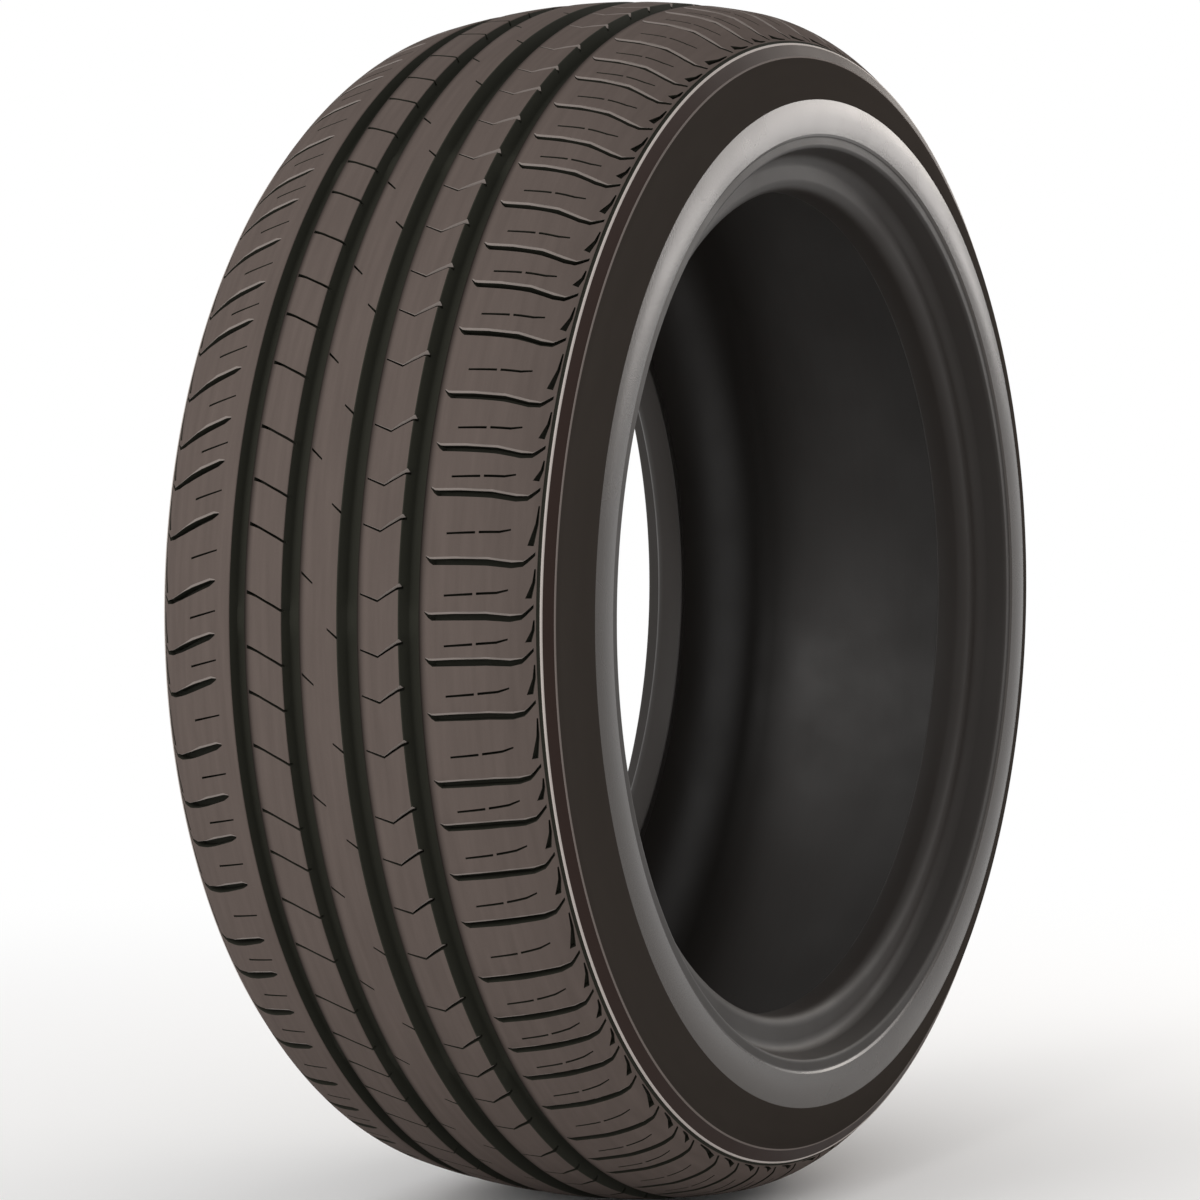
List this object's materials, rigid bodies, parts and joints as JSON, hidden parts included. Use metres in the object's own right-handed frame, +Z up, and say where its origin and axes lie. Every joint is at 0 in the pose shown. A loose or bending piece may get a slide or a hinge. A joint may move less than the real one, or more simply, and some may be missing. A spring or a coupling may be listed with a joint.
{
  "type": "car tyre",
  "caption": "Low-profile passenger car tyre with ribbed road tread, bevelled shoulder slots, smooth sidewalls and beads that seat on a rim.",
  "frame": {"origin": "centre of the tyre, on the axis it spins about and midway between the beads", "axes": "+Y along the spin axis with the outer sidewall facing -Y, +Z up as the tyre stands on its tread"},
  "size_m": [0.6432, 0.239, 0.6432],
  "materials": {
    "rubber": "matte moulded rubber, with a slight sheen on the sidewalls"
  },
  "bodies": {
    "root": {"tyre": "rubber"}
  },
  "joints": []
}
